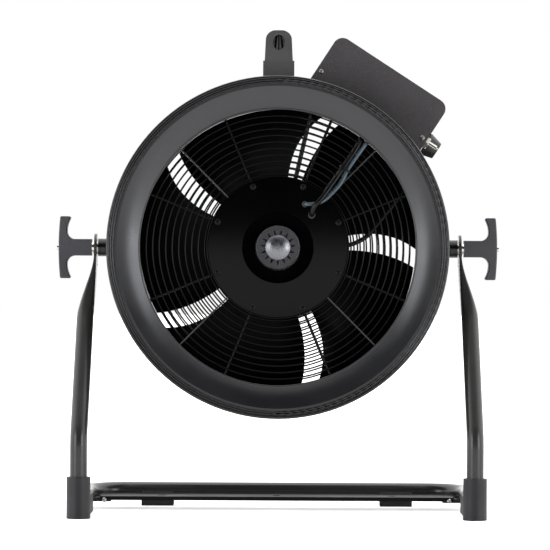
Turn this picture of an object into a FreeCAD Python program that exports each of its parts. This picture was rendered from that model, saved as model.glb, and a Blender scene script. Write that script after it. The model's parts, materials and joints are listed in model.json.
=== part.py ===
"""Drum fan on a tilting tubular floor stand: one STEP file per piece.

Millimetres, +Z up. The air leaves towards -Y (the front), +X is to the right seen from the front.
The origin is on the floor, below the middle of the fan.
"""
import FreeCAD, Part
import math
import os

V = FreeCAD.Vector
ORIGIN = V(0, 0, 0)
ALONG_X, ALONG_Y, ALONG_Z = V(1, 0, 0), V(0, 1, 0), V(0, 0, 1)
TOUCH = 0.05        # radial clearance of a running fit
GAP = 0.3           # free gap between two pieces that move past each other

# --- stand -------------------------------------------------------------------
STAND_HALF_DEPTH = 150.0
TUBE_R, TUBE_WALL = 12.7, 1.5
AXIS_Z = 398.8      # height of the tilt axis, which is also the axis of the fan
LEG_X = 290.5       # middle of each side tube
LEG_Y = -132.5      # middle of each leg where it is upright
LEG_BEND_Z, LEG_BEND_R = 119.0, 60.0
LEG_TOP_X = 285.5   # the leg leans in a little on its way up
LEG_ROUND_UNTIL, LEG_FLAT_FROM = 188.0, 290.0   # along the leaning part, from the bend
EAR_X, EAR_THICK, EAR_R = 272.5, 4.0, 21.0
RAIL_Z, RAIL_REAR_Y, RAIL_BEND_R, RAIL_FRONT_Y = 23.5, 135.0, 60.0, -118.0
FOOT_R, FOOT_H, FOOT_REACH, FOOT_REAR_H, FOOT_CHAMFER = 17.5, 61.0, -66.0, 40.0, 6.0
PAD_X, PAD_LONG, PAD_DEEP, PAD_H = 185.0, 50.0, 30.0, 22.0
STRIP_Y, STRIP_WIDE, STRIP_TOP, STRIP_DEEP, STRIP_WALL = 72.0, 56.0, 20.0, 6.0, 2.5
STRIP_HALF, CLAMP_HOLE_R, CLAMP_SPACING = 270.0, 6.75, 176.0
TAB_LONG, TAB_DEEP = 17.0, 6.0
STRIP_SCREW_R, STRIP_SCREW_LONG, STRIP_SCREW_HEAD_R = 2.0, 13.0, 3.6

# --- drum --------------------------------------------------------------------
DRUM_R, DRUM_WALL, DRUM_HALF = 250.0, 1.5, 115.0
RIM_R, RIM_INNER_R, RIM_BACK = 253.0, 241.8, 110.0
LIP_R, LIP_Y = 203.5, -96.2
PANEL_R = 248.4
DUCT_R, DUCT_WALL, DUCT_FRONT, DUCT_REAR = 213.0, 1.3, -99.6, 78.0
MOUTH_R, MOUTH_CENTRE_R, MOUTH_CENTRE_Y = 28.5, 243.0, 81.5
SWAGE_Y, SWAGE_HALF, SWAGE_RISE = 65.0, 5.0, 1.8

# --- guards and motor mount --------------------------------------------------
RING_WIRE_R, SPOKE_WIRE_R = 1.25, 1.75
RING_Y, RING_PITCH, RING_FIRST, RING_LAST = -87.0, 9.64, 108.3, 196.0
REAR_SPOKE_Y, REAR_RING_FIRST, REAR_RING_LAST, REAR_EDGE_R = 112.4, 21.6, 231.0, 239.4
SPOKES, SPOKE_START = 8, 22.5
STRUTS, STRUT_START, STRUT_THICK, STRUT_FRONT, STRUT_REAR = 4, 45.0, 2.0, -90.9, -62.0
PLATE_R, PLATE_HOLE_R, PLATE_FRONT, PLATE_THICK = 104.0, 52.6, -96.0, 3.0
PLATE_SCREWS, PLATE_SCREW_PCR = 8, 96.7
CUP_R, CUP_FLANGE_R, CUP_FLOOR, CUP_WALL = 84.0, 102.9, -62.0, 2.0
BELL_R, BELL_FRONT, BELL_SLOTS = 33.6, -84.0, 15
BELL_FLANGE_R, BELL_FLANGE_THICK = 48.0, 3.0
SLOT_IN, SLOT_OUT, SLOT_WIDE = 19.2, 25.6, 4.1
DOME_R, DOME_RISE = 18.4, 5.6
BEARING_R, BEARING_W, SHAFT_R = 16.0, 10.0, 6.0
TUBE_OUT_R, TUBE_REAR = 19.0, -14.0
CORE_R, CORE_FRONT, CORE_REAR, WINDING_DEEP = 42.0, -50.0, -16.0, 6.5
CAN_R, CAN_WALL, CAN_FRONT, CAN_REAR = 52.0, 2.5, -54.0, 4.0
HUB_R, HUB_FRONT, HUB_REAR = 56.0, -50.0, 0.0

# --- impeller ----------------------------------------------------------------
BLADES, TIP_R, BLADE_THICK = 5, 208.5, 2.6
BLADE_FRONT_ROOT, BLADE_FRONT_TIP = -46.0, -42.0
BLADE_DEEP_ROOT, BLADE_DEEP_TIP = 44.0, 78.0
GAP_ANGLE, GAP_SWEEP, GAP_WIDE, GAP_TAPER = 4.4, 8.3, 11.2, 4.2
GAP_FROM_R, GAP_SPAN_R = 109.0, 97.0

# --- control box, in its own frame: x along the drum, z outwards -------------
BOX_TURN = 33.0     # degrees clockwise from the top of the drum
BOX_HALF, BOX_TOP, BOX_FRONT, BOX_REAR = 98.0, 318.0, -45.0, 45.0
BOX_CORNER, BOX_WALL, COVER_THICK = 15.0, 2.0, 1.5
COVER_SCREW_X, COVER_SCREW_Z, COVER_SCREW_R = 90.4, 256.0, 1.45
LUG_HALF, LUG_DEEP = 4.5, 7.0
FITTING_Z, ROCKER_Z = 254.0, 262.0
BREAKER_Y, KNOB_Y, ROCKER_Y, ROCKER_THROW, ROCKER_PIN_R = -28.0, 0.0, 29.0, 16.0, 1.1
BUSH_R, BUSH_LONG, NUT_FLATS, NUT_THICK, BUTTON_R, BUTTON_OUT = 4.9, 18.5, 17.0, 5.0, 2.6, 3.7
SPINDLE_R, POT_BUSH_R = 3.0, 4.0
KNOB_BASE_R, KNOB_TOP_R, KNOB_LONG = 18.0, 12.0, 22.5
INLET_X, INLET_Z = -52.0, 288.0

# --- handle, leads, side clamps ----------------------------------------------
HANDLE_HALF, HANDLE_Y, HANDLE_FOLD_Z, HANDLE_TOP_Z, HANDLE_LEAN = 21.0, 53.0, 678.0, 724.5, 14.0
HANDLE_THICK, WINDOW_Z, WINDOW_HALF_X, WINDOW_HALF_Z = 3.0, 706.0, 9.0, 11.4
GRIP_HALF_X, GRIP_HALF_Z = 13.0, 16.0
BOSS_R, BOSS_END, PILOT_R, STUD_R = 13.5, 271.0, 8.0, 6.0
TEE_START, TEE_DEEP, TEE_EDGE = 280.8, 11.0, 2.0
STEM_HALF, SCOOP_R, GRIP_X, GRIP_R, TEE_HALF = 12.5, 12.0, 37.0, 39.0, 46.8
CROWN_X, CROWN_RISE = 49.8, 2.4
STUD_INNER, STUD_NUB, STUD_END, NUB_R, SHOULDER_R = 254.0, 329.0, 334.0, 4.9, 8.2
GREY_LEAD_R, BLACK_LEAD_R, INNER_LEAD_R = 3.0, 4.0, 3.3
LEAD_PLAY, GROMMET_WALL = 0.1, 1.5
INNER_LEAD_Y = -72.0
TIE_INNER_R, TIE_THICK, TIE_WIDE = 5.2, 1.0, 3.4


# --- helpers -----------------------------------------------------------------
def save(name, *solids):
    """Write one node, from one solid or a group of separate solids."""
    shape = solids[0] if len(solids) == 1 else Part.makeCompound(list(solids))
    if not shape.isValid():
        print("not valid:", name)
    shape.exportStep("parts/" + name + ".step")


def fuse(first, *rest):
    """One clean solid from pieces that touch or overlap."""
    return first.fuse(list(rest)).removeSplitter()


def box(x0, x1, y0, y1, z0, z1):
    return Part.makeBox(x1 - x0, y1 - y0, z1 - z0, V(x0, y0, z0))


def rod(radius, start, end):
    """Round bar from one point to another."""
    run = end - start
    return Part.makeCylinder(radius, run.Length, start, run)


def bar_y(radius, y0, y1, x=0.0, z=0.0):
    return rod(radius, V(x, y0, z), V(x, y1, z))


def ring_y(inner, outer, y0, y1):
    """Plain ring about the fan's axis."""
    return bar_y(outer, y0, y1).cut(bar_y(inner, y0 - 1, y1 + 1))


def outline(start, steps):
    """Closed flat face in the XY plane: a step is (x, y), or (mid x, mid y, x, y) for an arc."""
    edges, here = [], V(start[0], start[1], 0)
    for step in steps + [start]:
        there = V(step[-2], step[-1], 0)
        if (there - here).Length < 1e-6:
            continue
        if len(step) == 2:
            edges.append(Part.LineSegment(here, there).toShape())
        else:
            edges.append(Part.Arc(here, V(step[0], step[1], 0), there).toShape())
        here = there
    return Part.Face(Part.Wire(edges))


def turned(start, steps, axis=ALONG_Y):
    """Solid of revolution; the outline is (radius, y) about Y, or (x, radius) about X."""
    return outline(start, steps).revolve(ORIGIN, axis, 360)


def spin(shape, degrees):
    """Turn about the fan's axis, anticlockwise seen from the front."""
    return shape.rotated(ORIGIN, V(0, -1, 0), degrees)


def lift(shape):
    """From the fan's own frame to the floor frame."""
    return shape.translated(V(0, 0, AXIS_Z))


def around(shape, count, start=0.0):
    """Copies of a shape, evenly spaced about the fan's axis."""
    return [spin(shape, start + 360.0 * k / count) for k in range(count)]


def polar(radius, degrees, y):
    """Point in the fan's frame; the angle is anticlockwise from +X seen from the front."""
    a = math.radians(degrees)
    return V(radius * math.cos(a), y, radius * math.sin(a))


def mirrored(shape):
    return shape.mirror(ORIGIN, ALONG_X)


def routed(points):
    """Straight runs joined by tangent arcs as large as the runs allow."""
    edges, here = [], points[0]
    for before, corner, after in zip(points, points[1:], points[2:]):
        back, on = before - corner, after - corner
        reach = 0.45 * min(back.Length, on.Length)
        back.normalize()
        on.normalize()
        half_turn = (math.pi - back.getAngle(on)) / 2
        start, end = corner + back * reach, corner + on * reach
        radius = reach / math.tan(half_turn)
        middle = back + on
        middle.normalize()
        apex = corner + middle * (radius / math.cos(half_turn) - radius)
        edges.append(Part.LineSegment(here, start).toShape())
        edges.append(Part.Arc(start, apex, end).toShape())
        here = end
    edges.append(Part.LineSegment(here, points[-1]).toShape())
    return Part.Wire(edges)


def tube_along(wire, radius):
    """Round solid swept along a wire."""
    edge = wire.Edges[0]
    start = edge.valueAt(edge.FirstParameter)
    along = edge.tangentAt(edge.FirstParameter)
    circle = Part.Wire([Part.makeCircle(radius, start, along)])
    return wire.makePipeShell([circle], True, False)


def screw(radius, head_r, head_h, length):
    """Pan-head screw with a cross recess: head towards -Y, its seat at y = 0."""
    dome = 0.35 * head_h
    head = turned((0, -head_h), [(0.5 * head_r, -head_h + 0.15 * dome, 0.8 * head_r, -head_h + dome),
                                 (head_r, -0.3 * head_h), (head_r, 0), (radius, 0), (radius, length),
                                 (0, length)])
    arm, slot = 0.55 * head_r, 0.11 * head_r
    for wide, tall in ((arm, slot), (slot, arm)):
        head = head.cut(box(-wide, wide, -head_h - 1, -0.45 * head_h, -tall, tall))
    return head


# --- stand -------------------------------------------------------------------
def leg_frame():
    """Bend point, and the direction of the leaning part."""
    bend = V(LEG_X, LEG_Y, LEG_BEND_Z)
    lean = V(LEG_TOP_X, 0, AXIS_Z) - bend
    lean.normalize()
    return bend, lean


def leg_section(distance):
    """Closed curve across the leg: round low down, pressed flat and moved inwards at the top."""
    bend, lean = leg_frame()
    t = (distance - LEG_ROUND_UNTIL) / (LEG_FLAT_FROM - LEG_ROUND_UNTIL)
    ease = t * t * (3 - 2 * t)
    start = TUBE_R - 0.05
    half_thick = start + (EAR_THICK / 2 - 0.06 - start) * ease
    half_wide = start + (EAR_R - 1.5 - start) * ease
    power = 2.0 / (2.0 + 5.0 * ease)
    middle = bend + lean * distance
    middle.x += (EAR_X + EAR_THICK / 2 - middle.x) * ease
    across = ALONG_X
    sideways = lean.cross(across)
    sideways.normalize()
    points, count = [], 24
    for k in range(count):
        a = 2 * math.pi * k / count
        c, s = math.cos(a), math.sin(a)
        u = math.copysign(abs(c) ** power, c) * half_thick
        w = math.copysign(abs(s) ** power, s) * half_wide
        points.append(middle + across * u + sideways * w)
    curve = Part.BSplineCurve()
    curve.interpolate(points, PeriodicFlag=True)
    return Part.Wire([curve.toShape()])


def make_leg():
    """Right leg: bent tube that ends in a flat ear with the pivot hole."""
    bend, lean = leg_frame()
    foot_end = V(LEG_X, LEG_Y, 14.0)
    turn = lean.getAngle(ALONG_Z)
    reach = LEG_BEND_R * math.tan(turn / 2)
    low, high = bend - ALONG_Z * reach, bend + lean * reach
    centre_way = lean - ALONG_Z
    centre_way.normalize()
    apex = bend + centre_way * (LEG_BEND_R / math.cos(turn / 2) - LEG_BEND_R)
    top = bend + lean * (LEG_ROUND_UNTIL + 1.0)
    path = Part.Wire([Part.LineSegment(foot_end, low).toShape(), Part.Arc(low, apex, high).toShape(),
                      Part.LineSegment(high, top).toShape()])
    tube = tube_along(path, TUBE_R).cut(tube_along(path, TUBE_R - TUBE_WALL))
    step = (LEG_FLAT_FROM - LEG_ROUND_UNTIL) / 6
    sections = [leg_section(LEG_ROUND_UNTIL + k * step) for k in range(7)]
    pressed = Part.makeLoft(sections, True, False)
    ear_start = bend + lean * (LEG_FLAT_FROM - 2.0)
    length = V(0, -ear_start.y, AXIS_Z - ear_start.z).Length
    plate = box(EAR_X, EAR_X + EAR_THICK, -EAR_R + 0.9, EAR_R - 0.9, -length, 0)
    tilt = math.degrees(math.atan2(-ear_start.y, AXIS_Z - ear_start.z))
    plate = plate.rotated(ORIGIN, ALONG_X, -tilt)
    disc = rod(EAR_R, V(EAR_X, 0, 0), V(EAR_X + EAR_THICK, 0, 0))
    ear = fuse(lift(plate), lift(disc))
    leg = fuse(tube, pressed, ear)
    return leg.cut(lift(rod(PILOT_R + TOUCH, V(EAR_X - 20, 0, 0), V(EAR_X + 20, 0, 0))))


def make_foot():
    """Right foot: upright sleeve joined to a lying sleeve, bored for both tubes."""
    upright = rod(FOOT_R, V(LEG_X, LEG_Y, 0), V(LEG_X, LEG_Y, FOOT_H))
    lying = box(LEG_X - FOOT_R, LEG_X + FOOT_R, LEG_Y, FOOT_REACH, 0, FOOT_REAR_H)
    long_edges = [e for e in lying.Edges if abs(e.tangentAt(e.FirstParameter).y) > 0.9]
    lying = lying.makeChamfer(FOOT_CHAMFER, long_edges)
    foot = fuse(upright, lying)
    foot = foot.cut(rod(TUBE_R + GAP, V(LEG_X, LEG_Y, 13.5), V(LEG_X, LEG_Y, FOOT_H + 1)))
    return foot.cut(rod(TUBE_R + GAP, V(LEG_X, RAIL_FRONT_Y - 0.5, RAIL_Z), V(LEG_X, 0, RAIL_Z)))


def rail_path():
    """Right half and left half of the floor frame, as one open wire."""
    corner = RAIL_BEND_R * (1 - math.cos(math.radians(45)))
    rear, side = RAIL_REAR_Y, LEG_X
    points = [V(side, RAIL_FRONT_Y, RAIL_Z), V(side, rear - RAIL_BEND_R, RAIL_Z),
              V(side - corner, rear - corner, RAIL_Z), V(side - RAIL_BEND_R, rear, RAIL_Z)]
    left = [V(-p.x, p.y, p.z) for p in reversed(points)]
    return Part.Wire([Part.LineSegment(points[0], points[1]).toShape(), Part.Arc(*points[1:]).toShape(),
                      Part.LineSegment(points[3], left[0]).toShape(), Part.Arc(*left[:3]).toShape(),
                      Part.LineSegment(left[2], left[3]).toShape()])


def make_rail():
    """U-shaped floor tube with a welded tab under each end of the clamp strip."""
    path = rail_path()
    solid = tube_along(path, TUBE_R)
    top = STRIP_TOP - STRIP_WALL
    half = STRIP_WIDE / 2 - STRIP_WALL
    tab = box(STRIP_HALF - TAB_LONG, LEG_X - 2, STRIP_Y - half, STRIP_Y + half, top - TAB_DEEP, top)
    rail = fuse(solid, tab, mirrored(tab)).cut(tube_along(path, TUBE_R - TUBE_WALL))
    for hole in strip_screw_places():
        bore = bar_y(STRIP_SCREW_R + TOUCH, -STRIP_SCREW_LONG - 1, STRIP_SCREW_LONG + 1)
        rail = rail.cut(bore.translated(hole))
    return rail


def strip_screw_places():
    """Seat of each strip screw on the strip's front and rear lips."""
    z = STRIP_TOP - STRIP_WALL - TAB_DEEP / 2
    half = STRIP_WIDE / 2
    return [V(x, STRIP_Y + y, z) for x in (-STRIP_HALF + 7, STRIP_HALF - 7) for y in (-half, half)]


def make_strip():
    """Flat channel across the floor frame, with three holes for hanging clamps."""
    y0, y1 = STRIP_Y - STRIP_WIDE / 2, STRIP_Y + STRIP_WIDE / 2
    strip = box(-STRIP_HALF, STRIP_HALF, y0, y1, STRIP_TOP - STRIP_DEEP, STRIP_TOP)
    hollow = box(-STRIP_HALF - 1, STRIP_HALF + 1, y0 + STRIP_WALL, y1 - STRIP_WALL,
                 STRIP_TOP - STRIP_DEEP - 1, STRIP_TOP - STRIP_WALL)
    strip = strip.cut(hollow)
    for x in (-CLAMP_SPACING, 0, CLAMP_SPACING):
        strip = strip.cut(rod(CLAMP_HOLE_R, V(x, STRIP_Y, 0), V(x, STRIP_Y, STRIP_TOP + 1)))
    for hole in strip_screw_places():
        strip = strip.cut(bar_y(STRIP_SCREW_R + TOUCH, -4, 4).translated(hole))
    return strip


def make_strip_screws():
    pieces = []
    for seat in strip_screw_places():
        one = screw(STRIP_SCREW_R, STRIP_SCREW_HEAD_R, 2.6, STRIP_SCREW_LONG)
        if seat.y > STRIP_Y:
            one = one.rotated(ORIGIN, ALONG_Z, 180)
        pieces.append(one.translated(seat))
    return pieces


def make_pads():
    """Rubber saddles under the rear tube, on their own feet."""
    pads = []
    for x in (-PAD_X, PAD_X):
        x0, x1 = x - PAD_LONG / 2, x + PAD_LONG / 2
        block = box(x0, x1, STAND_HALF_DEPTH - PAD_DEEP, STAND_HALF_DEPTH, 0, PAD_H)
        block = block.makeFillet(1.5, block.Edges)
        saddle = rod(TUBE_R + 0.02, V(x0 - 1, RAIL_REAR_Y, RAIL_Z), V(x1 + 1, RAIL_REAR_Y, RAIL_Z))
        pads.append(block.cut(saddle))
    return pads


def build_stand():
    leg, foot = make_leg(), make_foot()
    save("right_leg", leg)
    save("left_leg", mirrored(leg))
    save("right_foot", foot)
    save("left_foot", mirrored(foot))
    save("base_rail", make_rail())
    save("clamp_strip", make_strip())
    save("strip_screws", *make_strip_screws())
    save("rear_pads", *make_pads())


# --- drum --------------------------------------------------------------------
def rim_steps(sign):
    """Rolled rim: a large outer bead and two fine ridges, from the drum wall inwards."""
    steps = [(252.2, 109.3, RIM_R, 112.0), (252.1, 114.2, DRUM_R, DRUM_HALF), (248.9, 114.7, 248.0, 113.7),
             (246.4, 114.9, 244.8, 113.7), (243.3, 114.7, RIM_INNER_R, 113.5), (RIM_INNER_R, RIM_BACK),
             (DRUM_R - DRUM_WALL, RIM_BACK)]
    return [tuple(c * sign if k % 2 else c for k, c in enumerate(step)) for step in steps]


def reverse_steps(start, steps):
    """The same outline walked backwards: returns its new start and steps."""
    ends = [start] + [step[-2:] for step in steps]
    back = []
    for k in range(len(steps) - 1, -1, -1):
        back.append(steps[k][:-2] + ends[k] if len(steps[k]) == 4 else ends[k])
    return ends[-1], back


def swage(y):
    """Stiffening bead pressed outwards around the drum."""
    return [(DRUM_R, y - SWAGE_HALF), (DRUM_R + SWAGE_RISE, y, DRUM_R, y + SWAGE_HALF)]


def make_shell():
    wall_start = (DRUM_R, -108.5)
    front = rim_steps(-1)
    inner_start, front_back = reverse_steps(wall_start, front)
    rear = rim_steps(1)
    steps = front_back + swage(-SWAGE_Y) + swage(SWAGE_Y) + [(DRUM_R, 108.5)] + rear
    return turned(inner_start, steps)


def make_front_panel():
    """Dished ring behind the front rim, with a rolled inner lip."""
    return turned((PANEL_R, -RIM_BACK),
                  [(238.0, -RIM_BACK), (221.0, -105.4, 206.5, LIP_Y - 2.0),
                   (LIP_R, LIP_Y, 206.0, LIP_Y + 2.0), (207.5, LIP_Y - 0.7),
                   (221.6, -104.0, 238.3, -108.5), (PANEL_R, -108.5)])


def make_rear_panel():
    """Rounded inlet mouth between the duct and the rear rim."""
    r, cr, cy = MOUTH_R, MOUTH_CENTRE_R, MOUTH_CENTRE_Y
    wall, d = 1.5, math.sqrt(0.5)
    inner = r - wall
    return turned((cr - r, 66.0),
                  [(cr - r, cy), (cr - r * d, cy + r * d, cr, cy + r), (PANEL_R, cy + r),
                   (PANEL_R, cy + inner), (cr, cy + inner), (cr - inner * d, cy + inner * d, cr - inner, cy),
                   (cr - inner, 66.0)])


def lead_routes():
    """Centre lines in the fan's frame: grey and black in front of the guard, two behind it."""
    grey = [polar(272, 50, -28), polar(240, 50, -32), polar(226, 50, -76), V(126.4, -95, 149.7),
            V(102.1, -96, 114.8), V(93.0, -97.5, 94.5), V(74.2, -99.4, 74.8), V(66.6, -99.4, 68.7),
            V(51.3, -99.4, 63.8), V(39.6, -99.2, 63.9), V(39.6, -86, 63.9)]
    black = [polar(272, 55, -14), polar(240, 55, -18), polar(227, 54, -69), V(119.9, -97.2, 153.5),
             V(95.4, -97.5, 116.8), V(77.1, -102, 90.6), V(68.1, -105, 77.7), V(59.8, -107.6, 67.9),
             V(52.2, -106, 58.9), V(49.8, -101, 49.6), V(49.8, -86, 48.2)]
    y = INNER_LEAD_Y
    upper = [polar(76, 75.5, y), polar(226, 76.5, y), polar(240, 75.5, -42), polar(272, 74, -20)]
    lower = [V(76, y, 2.6), V(108, y, 3.6), V(132.5, y, 16.3), V(193, y, 90), polar(230, 31, -62),
             polar(240, 42, -34), polar(272, 43, -20)]
    return grey, black, upper, lower


LEAD_RADII = [GREY_LEAD_R, BLACK_LEAD_R, INNER_LEAD_R, INNER_LEAD_R]


def lead_tube(points, radius):
    return tube_along(routed(points), radius)


def make_leads():
    """The four leads, the bores they need, and a grommet wherever one passes the duct or the plate."""
    leads, bores, grommets = [], [], []
    rear = PLATE_FRONT + PLATE_THICK
    duct_band = ring_y(DUCT_R - 1.5, DUCT_R + DUCT_WALL + 1.5, -100, -50)
    for route, radius in zip(lead_routes(), LEAD_RADII):
        leads.append(lead_tube(route, radius))
        bore = lead_tube(route, radius + GROMMET_WALL)
        bores.append(bore)
        grommets.append(duct_band.common(bore).cut(lead_tube(route, radius + LEAD_PLAY)))
    for route, radius in list(zip(lead_routes(), LEAD_RADII))[:2]:
        end = route[-1]
        ring = bar_y(radius + GROMMET_WALL, PLATE_FRONT - 1, rear + 1, end.x, end.z)
        bores.append(bar_y(radius + GROMMET_WALL, PLATE_FRONT - 2, rear + 2, end.x, end.z))
        grommets.append(ring.cut(lead_tube(route, radius + LEAD_PLAY)))
    return leads, bores, grommets


def clip_screws():
    """Angles of the four clips that hold the rear guard."""
    return [45.0 + 90.0 * k for k in range(4)]


def build_drum(bores):
    """Shell, panels and duct, with the holes for leads and screws."""
    clip_bores = [spin(bar_y(2.0 + TOUCH, 100, 120, 246.4), a) for a in clip_screws()]
    pivot_bore = rod(STUD_R + 1, V(240, 0, 0), V(256, 0, 0))
    handle_bores = [rod(2.5 + TOUCH, V(x, y, 240), V(x, y, 260)) for x, y in handle_screw_places()]
    shell = make_shell().cut([pivot_bore, mirrored(pivot_bore)] + handle_bores + clip_bores + bores)
    save("drum_shell", lift(shell))
    save("front_panel", lift(make_front_panel()))
    save("rear_panel", lift(make_rear_panel().cut(clip_bores)))
    duct = ring_y(DUCT_R, DUCT_R + DUCT_WALL, DUCT_FRONT, DUCT_REAR)
    save("duct", lift(duct.cut(bores)))


# --- guards ------------------------------------------------------------------
def ring_wire(radius, y, wire):
    return Part.makeTorus(radius, wire, V(0, y, 0), ALONG_Y)


def ring_radii(first, last, pitch):
    return [first + pitch * k for k in range(int((last - first) / pitch) + 1)]


def front_ring_radii():
    return [PLATE_R + 0.6] + ring_radii(RING_FIRST, RING_LAST, RING_PITCH)


def build_front_guard():
    rings = [ring_wire(r, RING_Y, RING_WIRE_R) for r in front_ring_radii()]
    spoke_y = RING_Y + RING_WIRE_R + SPOKE_WIRE_R + 0.02
    spoke = rod(SPOKE_WIRE_R, V(CUP_R + 0.1, spoke_y, 0), V(DUCT_R - 0.2, spoke_y, 0))
    save("front_guard", *[lift(s) for s in rings + around(spoke, SPOKES, SPOKE_START)])


def build_struts():
    """Four flat bars on edge that carry the motor cup from the duct; the guard rings pass through them."""
    bar = box(CUP_R + 0.02, DUCT_R - 0.1, STRUT_FRONT, STRUT_REAR, -STRUT_THICK / 2, STRUT_THICK / 2)
    bar = bar.cut([ring_wire(r, RING_Y, RING_WIRE_R + TOUCH) for r in front_ring_radii()])
    save("strut_bars", *[lift(s) for s in around(bar, STRUTS, STRUT_START)])


def build_rear_guard():
    ring_y0 = REAR_SPOKE_Y + SPOKE_WIRE_R + RING_WIRE_R + 0.02
    radii = ring_radii(REAR_RING_FIRST, REAR_RING_LAST, RING_PITCH)
    rings = [ring_wire(r, ring_y0, RING_WIRE_R) for r in radii]
    edge = ring_wire(REAR_EDGE_R, REAR_SPOKE_Y, 2.2)
    spoke = rod(SPOKE_WIRE_R, V(radii[0] - 2, REAR_SPOKE_Y, 0), V(REAR_EDGE_R - 2.2, REAR_SPOKE_Y, 0))
    save("rear_guard", *[lift(s) for s in rings + [edge] + around(spoke, SPOKES, SPOKE_START)])
    clip = box(234.5, 250.0, 115.05, 116.6, -7, 7).cut(bar_y(2.0 + TOUCH, 110, 120, 246.4))
    corners = [e for e in clip.Edges if abs(e.tangentAt(e.FirstParameter).y) > 0.9 and e.Length < 2]
    clip = clip.makeFillet(2.0, corners[:4])
    one = screw(2.0, 4.0, 2.6, 5.6).rotated(ORIGIN, ALONG_Z, 180).translated(V(246.4, 116.6, 0))
    save("guard_screws", *[lift(spin(piece, a)) for a in clip_screws() for piece in (clip, one)])


# --- motor -------------------------------------------------------------------
def build_plate(lead_bores):
    rear = PLATE_FRONT + PLATE_THICK
    plate = turned((PLATE_HOLE_R, PLATE_FRONT + 0.4),
                   [(PLATE_HOLE_R + 0.4, PLATE_FRONT), (PLATE_R - 0.8, PLATE_FRONT),
                    (PLATE_R, PLATE_FRONT + 0.8), (PLATE_R, rear), (PLATE_HOLE_R, rear)])
    bores = around(bar_y(2.0 + TOUCH, -99, -80, PLATE_SCREW_PCR), PLATE_SCREWS, SPOKE_START)
    save("motor_plate", lift(plate.cut(bores + lead_bores[4:])))
    seat = screw(2.0, 4.6, 2.4, 8.0).translated(V(PLATE_SCREW_PCR, PLATE_FRONT, 0))
    save("plate_screws", *[lift(s) for s in around(seat, PLATE_SCREWS, SPOKE_START)])
    flange_rear = rear + CUP_WALL
    cup = turned((CUP_FLANGE_R, rear),
                 [(CUP_FLANGE_R, flange_rear), (CUP_R, flange_rear), (CUP_R, CUP_FLOOR),
                  (BELL_R + 0.4, CUP_FLOOR), (BELL_R + 0.4, CUP_FLOOR - CUP_WALL),
                  (CUP_R - CUP_WALL, CUP_FLOOR - CUP_WALL), (CUP_R - CUP_WALL, rear)])
    save("motor_cup", lift(cup.cut(bores + lead_bores[2:4])))


def build_motor():
    """Fixed half: slotted end bell with its bearing tube, core, windings, bearings and cap."""
    face, flange = BELL_FRONT, CUP_FLOOR
    bell = turned((BEARING_R, face + 1.5),
                  [(TUBE_OUT_R, face), (BELL_R - 2.6, face),
                   (BELL_R - 1.9, face - 0.6, BELL_R - 1.2, face - 0.6), (BELL_R, face + 0.6), (BELL_R, flange),
                   (BELL_FLANGE_R, flange), (BELL_FLANGE_R, flange + BELL_FLANGE_THICK),
                   (BELL_R - 3, flange + BELL_FLANGE_THICK), (BELL_R - 3, face + 3), (TUBE_OUT_R, face + 3),
                   (TUBE_OUT_R, TUBE_REAR), (BEARING_R, TUBE_REAR)])
    half, tip = SLOT_WIDE / 2, 0.5
    wedge = outline((SLOT_IN, -half), [(SLOT_IN, half), (SLOT_OUT, tip), (SLOT_OUT, -tip)])
    slot = wedge.extrude(V(0, 0, 6)).rotated(ORIGIN, ALONG_X, -90).translated(V(0, face - 1, 0))
    save("stator_flange", lift(bell.cut(around(slot, BELL_SLOTS, 6))))
    seat, plug_r = face - 0.02, BEARING_R - 0.1
    cap = turned((0, face - DOME_RISE), [(0.56 * DOME_R, face - 0.78 * DOME_RISE, DOME_R, face - 0.6), (DOME_R, seat),
                                         (plug_r, seat), (plug_r, face + 3), (0, face + 3)])
    save("bearing_cap", lift(cap))
    save("stator_core", lift(ring_y(TUBE_OUT_R + 0.02, CORE_R, CORE_FRONT, CORE_REAR)))
    coil = turned((24, 0.02), [(38, 0.02), (38, WINDING_DEEP - 1),
                               (31, WINDING_DEEP + 0.4, 24, WINDING_DEEP - 1)])
    rear_coil = coil.translated(V(0, CORE_REAR, 0))
    front_coil = coil.mirror(ORIGIN, ALONG_Y).translated(V(0, CORE_FRONT, 0))
    save("windings", lift(front_coil), lift(rear_coil))
    bearings = []
    for y in (face + 4, TUBE_REAR - 2 - BEARING_W):
        ring = ring_y(SHAFT_R + TOUCH, BEARING_R - 0.02, y, y + BEARING_W)
        for groove in (y - 1, y + BEARING_W - 0.8):
            ring = ring.cut(ring_y(9.0, 13.2, groove, groove + 1.8))
        bearings.append(lift(ring))
    save("motor_bearings", *bearings)


# --- impeller ----------------------------------------------------------------
def gap_edges(radius):
    """Where the gap between two blades starts and ends at this radius, in degrees."""
    t = max(0.0, (radius - GAP_FROM_R) / GAP_SPAN_R)
    middle = GAP_ANGLE - GAP_SWEEP * t ** 1.9
    half = (GAP_WIDE - GAP_TAPER * t * t) / 2
    return middle - half, middle + half


def blade_point(radius, share, offset):
    """Point on the blade: share 0 is its front edge, 1 its rear edge, offset along the axis."""
    low, high = gap_edges(radius)
    t = (radius - HUB_R) / (TIP_R - HUB_R)
    front = BLADE_FRONT_ROOT + (BLADE_FRONT_TIP - BLADE_FRONT_ROOT) * t
    deep = BLADE_DEEP_ROOT + (BLADE_DEEP_TIP - BLADE_DEEP_ROOT) * t
    rise = 1.3 * share - 0.3 * share * share
    fade = 1.0 - 0.55 * abs(2 * share - 1) ** 3
    return polar(radius, high + (72 + low - high) * share, front + deep * rise + offset * fade)


def blade_sheet(offset):
    sheet = Part.BSplineSurface()
    radii = [HUB_R - 2 + (TIP_R - HUB_R + 2) * k / 9 for k in range(10)]
    shares = [k / 10 for k in range(11)]
    sheet.interpolate([[blade_point(r, s, offset) for s in shares] for r in radii])
    return sheet


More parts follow.
